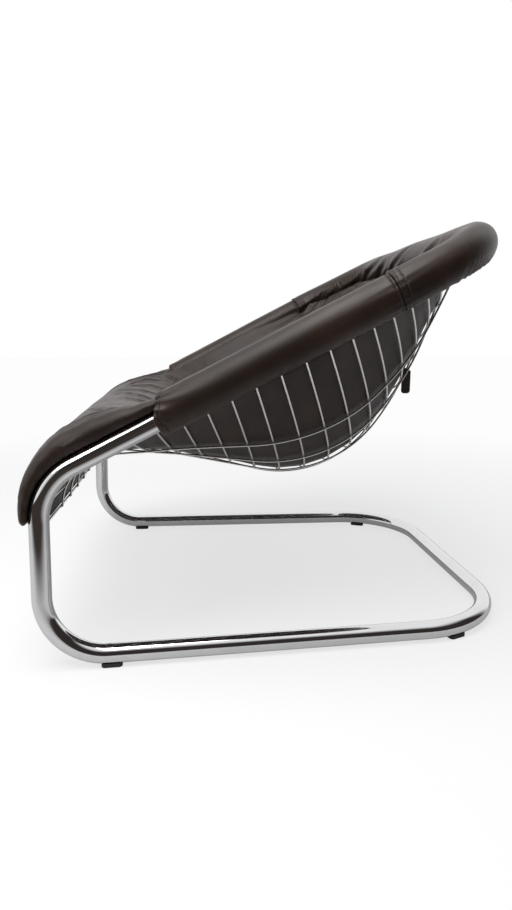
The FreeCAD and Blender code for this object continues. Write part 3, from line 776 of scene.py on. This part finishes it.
def ring_line(station, side, radius, rise, lift, lean=0.0):
    """Line round the leather at a place along the rail."""
    heading = (rail_point(1, side) - rail_point(0, side)).normalized()
    outward = heading.cross(ABOVE) * side
    centre = rail_point(station, side)
    line = []
    for step in range(ROW_STEPS + 1):
        angle = SLOT_TO + ROW_SHORT + (SLOT_FROM - SLOT_TO - 2 * ROW_SHORT) * step / ROW_STEPS
        reach = radius + lift
        seat = centre + heading * lean * max(math.sin(angle), 0)
        line.append(off_line(seat, outward, reach, angle, rise))
    return line


stitch_lines = []
for side in (1, -1):
    stitch_lines.append(ring_line(SEAM_STATION + SLEEVE_ROW, side, SLEEVE_R, SLEEVE_RISE, SEAM_SINK))
    for row in HOOD_ROWS:
        stitch_lines.append(ring_line(SEAM_STATION + row, side, HOOD_R, HOOD_RISE, SEAM_SINK))
    hem_place = SLEEVE_START - HEM_LAP + HEM_ROW
    stitch_lines.append(ring_line(hem_place, side, SLEEVE_R, SLEEVE_RISE, HEM_SINK, HEM_LEAN * HEM_ROW_LEAN))
stitches = grown(
    "stitches", stitch_tree(), lines_mesh("stitches", stitch_lines),
    stitch_pitch=STITCH_PITCH, stitch_length=STITCH_LENGTH, thread_radius=THREAD_R, finish=thread("thread"))
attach(stitches, "root")


# The pad: one large cushion of hide over thin foam that lies in the basket. At the front it
# turns over the bends and wraps the tube, at the back it runs up inside the hood. The hide is
# longer than the dish it lies in, so it creases where it turns over the knees and in the back.
VOXEL = 0.0055
SMOOTHING = 9
CREASE_PITCH = 0.006
RIDGE = 0.55
RIDGE_AT = 1.9
FAR_OFF = 9.0
FACES_UP = 0.2
HOOD_SHARE = 0.7
ROLL_CREASE = (0.0085, 0.0075)
ROLL_PINCH = 0.006
EDGE_DROP = 0.013
TUBE_ROOM = 0.0006


def soft_copy(name, node, voxel, passes):
    """Closed even mesh over a soft solid, with its facets smoothed away."""
    mesh = nodes[node].data.copy()
    mesh.name = name
    piece = bpy.data.objects.new(name, mesh)
    bpy.context.collection.objects.link(piece)
    work = bmesh.new()
    work.from_mesh(mesh)
    bmesh.ops.remove_doubles(work, verts=work.verts, dist=0.00001)
    work.to_mesh(mesh)
    work.free()
    remesh = piece.modifiers.new("even", "REMESH")
    remesh.mode = "VOXEL"
    remesh.voxel_size = voxel
    remesh.use_smooth_shade = True
    smooth = piece.modifiers.new("soft", "SMOOTH")
    smooth.factor = 0.5
    smooth.iterations = passes
    graph = bpy.context.evaluated_depsgraph_get()
    made = bpy.data.meshes.new_from_object(piece.evaluated_get(graph))
    piece.modifiers.clear()
    piece.data = made
    made.name = name
    made.materials.clear()
    made.materials.append(pad_leather)
    return piece


def read_points(mesh):
    flat = np.empty(len(mesh.vertices) * 3)
    mesh.vertices.foreach_get("co", flat)
    return flat.reshape(-1, 3)


def read_normals(mesh):
    flat = np.empty(len(mesh.vertices) * 3)
    mesh.vertex_normals.foreach_get("vector", flat)
    return flat.reshape(-1, 3)


def write_points(mesh, points):
    mesh.vertices.foreach_set("co", points.reshape(-1))
    mesh.update()


def press(points, normals, line, width, depth):
    """Presses a crease along a line into the points, with a soft ridge on either side."""
    way = np.array([tuple(p) for p in even_line([Vector(p) for p in line], CREASE_PITCH)])
    for k, point in enumerate(way):
        way[k] = points[((points - point) ** 2).sum(1).argmin()]
    near = np.full(len(points), FAR_OFF)
    place = np.zeros(len(points))
    box = np.all((points > way.min(0) - 4 * width) & (points < way.max(0) + 4 * width), axis=1)
    some = points[box]
    far = np.sqrt(((some[:, None, :] - way[None, :, :]) ** 2).sum(2))
    near[box] = far.min(1)
    place[box] = far.argmin(1) / (len(way) - 1)
    fade = np.sin(np.pi * np.clip(place, 0.02, 0.98)) ** 0.6
    shape = np.exp(-(near / width) ** 2) - RIDGE * np.exp(-((near - RIDGE_AT * width) / width) ** 2)
    points -= normals * (depth * shape * fade)[:, None]


def clear_of(points, line, radius):
    """Keeps the points outside a round bar."""
    tree = KDTree(len(line))
    for k, point in enumerate(line):
        tree.insert(point, k)
    tree.balance()
    for k, point in enumerate(points):
        near, number, gap = tree.find(point)
        if gap < radius + 0.012:
            ahead = line[min(number + 1, len(line) - 1)] - line[max(number - 1, 0)]
            ahead.normalize()
            arm = Vector(point) - near
            arm -= ahead * arm.dot(ahead)
            if 0 < arm.length < radius:
                points[k] = Vector(point) + arm * (radius / arm.length - 1)


pad = soft_copy("seat_pad_soft", "seat_pad", VOXEL, SMOOTHING)
places = read_points(pad.data)
normals = read_normals(pad.data)


def eased(value, low, high):
    """0 below a range and 1 above it, with a smooth step between."""
    t = np.clip((value - low) / (high - low), 0, 1)
    return t * t * (3 - 2 * t)


def tuck_roll(points, side):
    """Draws the top of the front roll on under the leaning hem of the sleeve, and lowers the
    pad's edge beside the sleeve where it dips in under the start of the hood. The ranges are
    places along the rail from the knee, above its centre line and outwards from it."""
    base = np.array(rail_point(0, side))
    heading = np.array((rail_point(1, side) - rail_point(0, side)).normalized())
    up = np.array(ABOVE)
    out = np.cross(heading, up) * side
    arm = points - base
    along, high, wide = arm @ heading, arm @ up, arm @ out
    share = eased(along, 0.165, 0.212) * (1 - eased(along, 0.217, 0.220))
    share *= eased(wide, -0.034, -0.022) * eased(high, 0.0, 0.028)
    points += heading * (HEM_LEAN * share)[:, None]
    pinched = share * eased(high, 0.02, 0.045)
    points -= up * (ROLL_PINCH * pinched)[:, None]
    falling = eased(along, 0.44, 0.59) * (1 - eased(along, 0.61, 0.64))
    falling *= eased(wide, -0.085, -0.050) * (1 - eased(wide, -0.024, -0.018)) * eased(high, -0.012, 0.012)
    points -= up * (EDGE_DROP * falling)[:, None]


def roll_line(side):
    """Where the front roll meets the seat, from the hem round the knee to the sleeve."""
    line = []
    for step in range(13):
        length = 0.080 + 0.016 * step
        centre = rim.read(length)
        ahead = (rim.read(length + 0.001) - centre).normalized()
        up = Vector((0, -ahead.z, ahead.y)).normalized()
        point = centre + up * 0.046 - Vector((0.036, 0, 0))
        line.append(Vector((point.x * side, point.y, point.z)))
    return line


# Creases of the seat and of the back: width, depth and the points they run through.
seat_creases = [
    (0.0060, 0.0060, [
        (-0.165, -0.345, 0.402), (-0.119, -0.295, 0.410), (-0.100, -0.245, 0.404), (-0.085, -0.200, 0.400)]),
    (0.0070, 0.0065, [(-0.090, -0.325, 0.406), (-0.010, -0.275, 0.409), (0.020, -0.230, 0.403)]),
    (0.0055, 0.0055, [(0.030, -0.305, 0.409), (0.079, -0.268, 0.408), (0.090, -0.225, 0.402)]),
    (0.0065, 0.0060, [(0.150, -0.345, 0.402), (0.278, -0.296, 0.414), (0.345, -0.262, 0.424)]),
    (0.0050, 0.0045, [(0.235, -0.350, 0.404), (0.262, -0.322, 0.409), (0.305, -0.298, 0.414)]),
    (0.0060, 0.0060, [(-0.235, -0.315, 0.412), (-0.300, -0.271, 0.419), (-0.285, -0.235, 0.414)]),
    (0.0065, 0.0060, [(-0.200, -0.310, 0.412), (-0.206, -0.256, 0.411), (-0.185, -0.190, 0.403)]),
    (0.0060, 0.0060, [(0.345, -0.235, 0.424), (0.280, -0.215, 0.410), (0.210, -0.205, 0.403)]),
    (0.0060, 0.0060, [(-0.345, -0.225, 0.424), (-0.290, -0.190, 0.412), (-0.240, -0.150, 0.400)]),
    (0.0050, 0.0045, [(0.335, -0.205, 0.424), (0.290, -0.160, 0.410), (0.255, -0.110, 0.398)]),
]
back_creases = [
    (0.0060, 0.0045, [
        (-0.090, 0.270, 0.640), (-0.061, 0.291, 0.681), (-0.014, 0.290, 0.697), (0.030, 0.298, 0.713)]),
    (0.0070, 0.0055, [(-0.200, 0.262, 0.630), (-0.152, 0.292, 0.681), (-0.102, 0.290, 0.697)]),
    (0.0070, 0.0060, [
        (-0.290, 0.245, 0.620), (-0.261, 0.289, 0.682), (-0.196, 0.290, 0.697), (-0.146, 0.294, 0.708)]),
    (0.0060, 0.0055, [(-0.320, 0.205, 0.600), (-0.306, 0.281, 0.670), (-0.272, 0.287, 0.690)]),
    (0.0060, 0.0050, [
        (-0.345, 0.120, 0.560), (-0.372, 0.174, 0.609), (-0.380, 0.203, 0.633), (-0.367, 0.227, 0.656)]),
    (0.0055, 0.0045, [(-0.325, 0.165, 0.585), (-0.373, 0.223, 0.635), (-0.353, 0.245, 0.660)]),
    (0.0065, 0.0050, [(0.105, 0.262, 0.630), (0.150, 0.290, 0.685), (0.200, 0.292, 0.700)]),
    (0.0070, 0.0055, [(0.215, 0.255, 0.630), (0.250, 0.285, 0.675), (0.300, 0.283, 0.690)]),
    (0.0060, 0.0055, [(0.315, 0.200, 0.600), (0.320, 0.270, 0.660), (0.345, 0.262, 0.670)]),
    (0.0060, 0.0050, [(0.345, 0.130, 0.565), (0.370, 0.180, 0.612), (0.380, 0.205, 0.635)]),
]
for side in (1, -1):
    tuck_roll(places, side)
    press(places, normals, roll_line(side), *ROLL_CREASE)
for width, depth, line in seat_creases + back_creases:
    press(places, normals, line, width, depth)
for k, point in enumerate(places):
    if normals[k][2] > FACES_UP:
        there = Vector((point[0] * 11, point[1] * 26, point[2] * 11))
        places[k] = point + normals[k] * (0.0022 * noise.noise(there) + 0.0009 * noise.noise(there * 2.7))
inner_face = read_points(hood.data)
outward = read_normals(hood.data)
for width, depth, line in back_creases:
    press(inner_face, outward, line, width, depth * HOOD_SHARE)
write_points(hood.data, inner_face)
clear_of(places, even_line(base_line, 0.004), TUBE_R + TUBE_ROOM)
write_points(pad.data, places)
fine = pad.modifiers.new("fine", "SUBSURF")
fine.levels = fine.render_levels = 1
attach(pad, "root")
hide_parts("seat_pad")


# The strap: the loose end of a leather strap, cut square with rounded corners. It comes out
# between two cross wires under the back, beside a lengthwise wire, and hangs straight down.
STRAP_X = 0.1435
STRAP_WIRE = 16.6
STRAP_WIDTH = 0.020
STRAP_DROP = 0.036
STRAP_THICKNESS = 0.0024
STRAP_ROOT = 0.0023
STRAP_BELOW = 0.007
STRAP_ABOVE = 0.009
STRAP_STAND = 0.014
STRAP_CORNERS = [0.001, 0.005, 0.006, 0.006, 0.0005, 0.0005]
STRAP_EDGE = 0.0005


def strap_outline():
    """Side view of the strap: its root in the basket, its bend outwards and its square end."""
    place = Rib(STRAP_WIRE).point(STRAP_X)
    lengthwise = Rib(STRAP_WIRE + 0.1).point(STRAP_X) - Rib(STRAP_WIRE - 0.1).point(STRAP_X)
    up = Vector((0, lengthwise.y, lengthwise.z)).normalized()
    out = Vector((0, up.z, -up.y))
    root = place - out * STRAP_ROOT
    low = root - up * STRAP_BELOW
    high = root + up * STRAP_ABOVE
    middle = low.lerp(high, 0.5)
    outer = high + out * STRAP_STAND
    end = low.z - STRAP_DROP
    inner = outer.y - STRAP_WIDTH + STRAP_THICKNESS
    corners = [middle, high, outer]
    corners += [Vector((STRAP_X, y, z)) for y, z in ((outer.y, end), (inner, end), (inner, low.z))]
    corners += [low, middle]
    return bent(corners, STRAP_CORNERS, 12.0)[:-1]


strap_leather = leather("strap_leather", (0.024, 0.016, 0.013), (0.036, 0.025, 0.02), 0.5, 0.5)
strap_mesh = bpy.data.meshes.new("strap")
outline = strap_outline()
strap_mesh.from_pydata([tuple(point) for point in outline], [], [list(range(len(outline)))])
strap_mesh.materials.append(strap_leather)
work = bmesh.new()
work.from_mesh(strap_mesh)
made = bmesh.ops.extrude_face_region(work, geom=work.faces[:])
other_face = [item for item in made["geom"] if isinstance(item, bmesh.types.BMVert)]
bmesh.ops.translate(work, verts=other_face, vec=(STRAP_THICKNESS, 0, 0))
around = [edge for edge in work.edges if abs(edge.verts[0].co.x - edge.verts[1].co.x) < 1e-6]
bmesh.ops.bevel(
    work, geom=around, offset=STRAP_EDGE, segments=3, profile=0.5, affect="EDGES", clamp_overlap=True)
work.to_mesh(strap_mesh)
work.free()
strap = bpy.data.objects.new("strap_cut", strap_mesh)
bpy.context.collection.objects.link(strap)
facing_out(strap)
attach(strap, "root")
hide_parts("strap_tab")


# The studio: a pale paper floor that runs on into a white backdrop, one broad softbox overhead
# and one in front. On the sitter's left, floor and room are dark, but only mirrored surfaces
# show it, which gives the chrome its dark bands.
def floor_finish():
    """Paper that brightens with distance, and is dark to mirrors on the sitter's left."""
    material = bpy.data.materials.new("studio_floor")
    material.use_nodes = True
    tree = material.node_tree
    tree.nodes.clear()
    paper = add(tree, "ShaderNodeBsdfDiffuse", {"Color": (0.86, 0.86, 0.86, 1)})
    plain = add(tree, "ShaderNodeEmission", {"Color": (1, 1, 1, 1), "Strength": 0.98})
    path = add(tree, "ShaderNodeLightPath").outputs
    here = add(tree, "ShaderNodeTexCoord").outputs["Object"]
    mirrored = maths(tree, "MULTIPLY", path["Is Glossy Ray"], 0.35)
    seen = maths(tree, "MAXIMUM", path["Is Camera Ray"], mirrored)
    apart = add(tree, "ShaderNodeVectorMath", {0: here}, operation="LENGTH").outputs["Value"]
    lift = ranged(tree, apart, 0.6, 2.4, 0.70, 1.0, interpolation_type="SMOOTHSTEP")
    share = maths(tree, "MULTIPLY", seen, lift)
    both = add(tree, "ShaderNodeMixShader", {0: share, 1: paper.outputs[0], 2: plain.outputs[0]})
    leftwards = add(tree, "ShaderNodeSeparateXYZ", {"Vector": here}).outputs["X"]
    unlit = ranged(tree, leftwards, 0.45, 1.0, 0.34, 1.0, interpolation_type="SMOOTHSTEP")
    beyond = maths(tree, "MULTIPLY", unlit, path["Is Glossy Ray"])
    dark = add(tree, "ShaderNodeEmission", {"Color": (0.05, 0.04, 0.035, 1), "Strength": 1.0})
    room = add(tree, "ShaderNodeMixShader", {0: beyond, 1: both.outputs[0], 2: dark.outputs[0]})
    add(tree, "ShaderNodeOutputMaterial", {"Surface": room.outputs[0]})
    return material


FLOOR_HALF = 12
floor_mesh = bpy.data.meshes.new("floor")
floor_corners = [(x * FLOOR_HALF, y * FLOOR_HALF, 0) for x, y in ((-1, -1), (1, -1), (1, 1), (-1, 1))]
floor_mesh.from_pydata(floor_corners, [], [(0, 1, 2, 3)])
floor_mesh.materials.append(floor_finish())
floor = bpy.data.objects.new("floor", floor_mesh)
bpy.context.collection.objects.link(floor)

world = bpy.data.worlds.new("studio")
world.use_nodes = True
bpy.context.scene.world = world
sky = world.node_tree
sky.nodes.clear()
heading = add(sky, "ShaderNodeTexCoord").outputs["Generated"]
direction = add(sky, "ShaderNodeSeparateXYZ", {"Vector": heading}).outputs
aside = maths(sky, "MULTIPLY_ADD", direction["Y"], 0.55, direction["X"])
towards = ranged(sky, aside, 0.0, 0.45, interpolation_type="SMOOTHSTEP")
rising = ranged(sky, direction["Z"], 0.58, 0.90, 1.0, 0.0, interpolation_type="SMOOTHSTEP")
shade = maths(sky, "MULTIPLY", towards, rising)
path = add(sky, "ShaderNodeLightPath").outputs
dark_side = tinted(sky, shade, (1, 1, 1), (0.035, 0.03, 0.028))
mirrored = add(sky, "ShaderNodeBackground", {"Color": dark_side, "Strength": 1.0})
white = add(sky, "ShaderNodeBackground", {"Color": (1, 1, 1, 1), "Strength": 1.0})
ambient = add(sky, "ShaderNodeBackground", {"Color": (0.95, 0.97, 1, 1), "Strength": 0.42})
for_gloss = {0: path["Is Glossy Ray"], 1: ambient.outputs[0], 2: mirrored.outputs[0]}
lit = add(sky, "ShaderNodeMixShader", for_gloss)
clear = maths(sky, "MAXIMUM", path["Is Camera Ray"], path["Is Transmission Ray"])
every = add(sky, "ShaderNodeMixShader", {0: clear, 1: lit.outputs[0], 2: white.outputs[0]})
add(sky, "ShaderNodeOutputWorld", {"Surface": every.outputs[0]})


def softbox(name, place, aim, size, power):
    lamp = bpy.data.lights.new(name, "AREA")
    lamp.shape = "RECTANGLE"
    lamp.size, lamp.size_y = size
    lamp.energy = power
    holder = bpy.data.objects.new(name, lamp)
    bpy.context.collection.objects.link(holder)
    holder.location = place
    holder.rotation_euler = (Vector(aim) - Vector(place)).to_track_quat("-Z", "Y").to_euler()


softbox("softbox_top", (0.7, -0.5, 2.2), (0, 0, 0.3), (1.1, 2.0), 48)
softbox("softbox_front", (1.5, -2.1, 1.7), (0, 0, 0.4), (0.9, 0.9), 16)

bpy.context.scene.view_settings.view_transform = "Standard"
